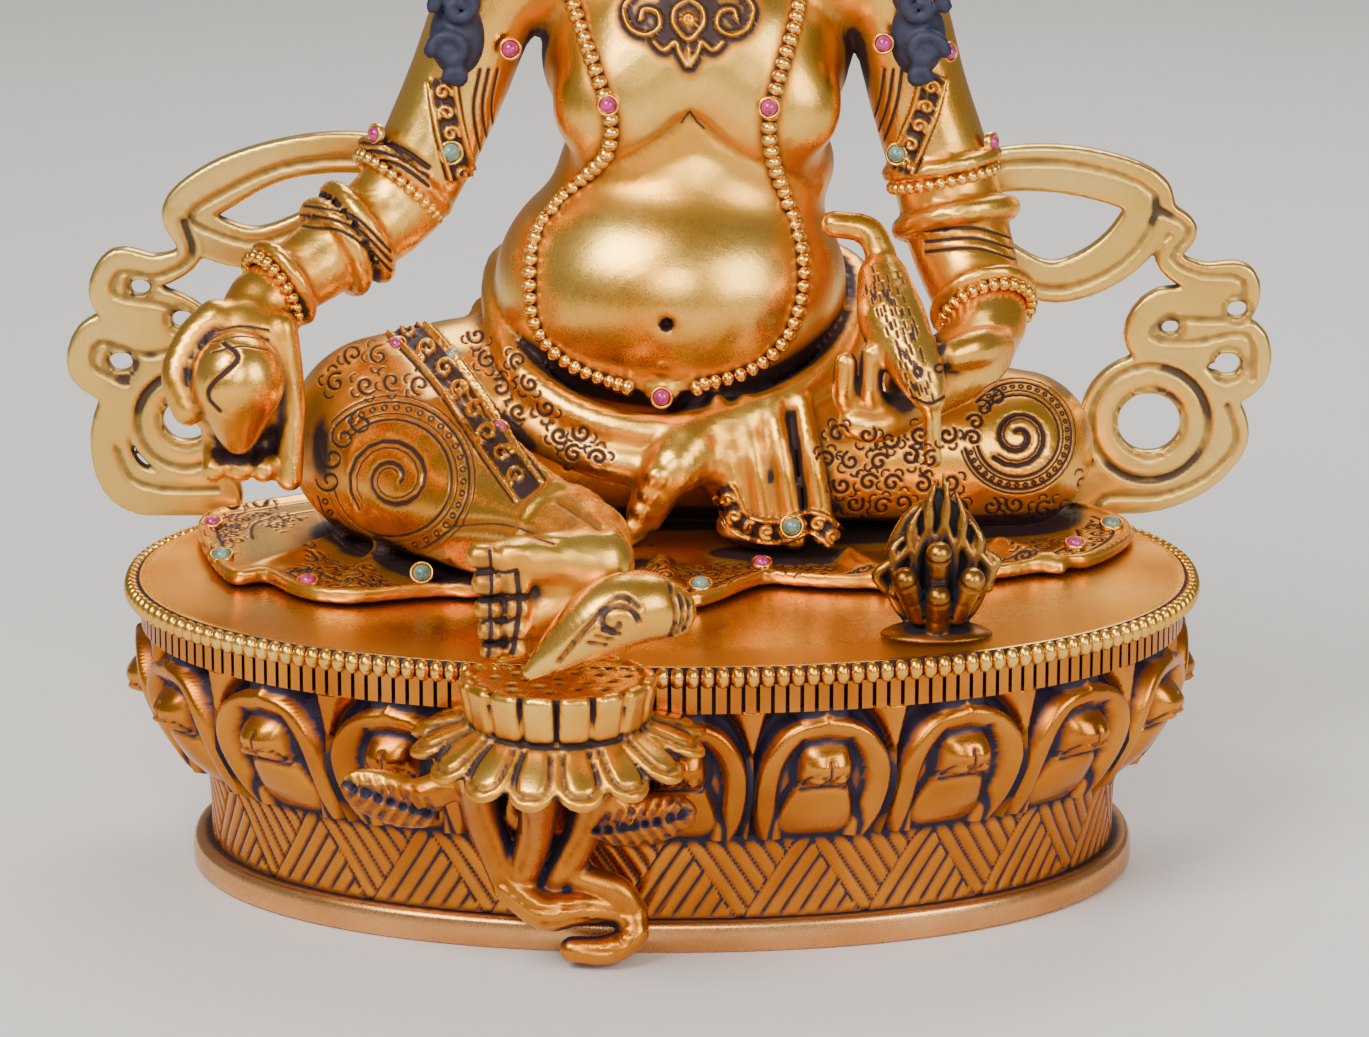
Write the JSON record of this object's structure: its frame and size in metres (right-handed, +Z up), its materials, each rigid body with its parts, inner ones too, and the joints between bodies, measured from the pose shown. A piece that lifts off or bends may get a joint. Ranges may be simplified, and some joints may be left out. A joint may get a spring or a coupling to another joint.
{
  "type": "jambhala statue",
  "caption": "Seated Jambhala in gilt cast metal on an oval lotus throne, holding a citron and a mongoose, one foot on a small lotus, set with pink and green cabochons.",
  "frame": {"origin": "centre of the throne's flat underside", "axes": "+Z up, +X to the viewer's right, -Y to the front"},
  "size_m": [0.2921, 0.2066, 0.3285],
  "materials": {
    "gilt_casting": "antique gilt over cast copper alloy, dark patina in the recesses",
    "pale_brass": "paler satin brass with dark chased lines",
    "pink_cabochon": "opaque pink glass, polished",
    "green_cabochon": "opaque grey-green stone, polished"
  },
  "bodies": {
    "root": {"lotus_throne": "gilt_casting", "figure": "gilt_casting", "left_scarf": "pale_brass", "right_scarf": "pale_brass", "foot_lotus": "gilt_casting", "conch_shell": "gilt_casting", "flaming_jewels": "gilt_casting", "ruby_01": "pink_cabochon", "ruby_02": "pink_cabochon", "ruby_03": "pink_cabochon", "ruby_04": "pink_cabochon", "ruby_05": "pink_cabochon", "ruby_06": "pink_cabochon", "ruby_07": "pink_cabochon", "ruby_08": "pink_cabochon", "ruby_09": "pink_cabochon", "ruby_10": "pink_cabochon", "ruby_11": "pink_cabochon", "ruby_12": "pink_cabochon", "ruby_13": "pink_cabochon", "ruby_14": "pink_cabochon", "turquoise_01": "green_cabochon", "turquoise_02": "green_cabochon", "turquoise_03": "green_cabochon", "turquoise_04": "green_cabochon", "turquoise_05": "green_cabochon", "turquoise_06": "green_cabochon", "turquoise_07": "green_cabochon", "turquoise_08": "green_cabochon"}
  },
  "joints": []
}
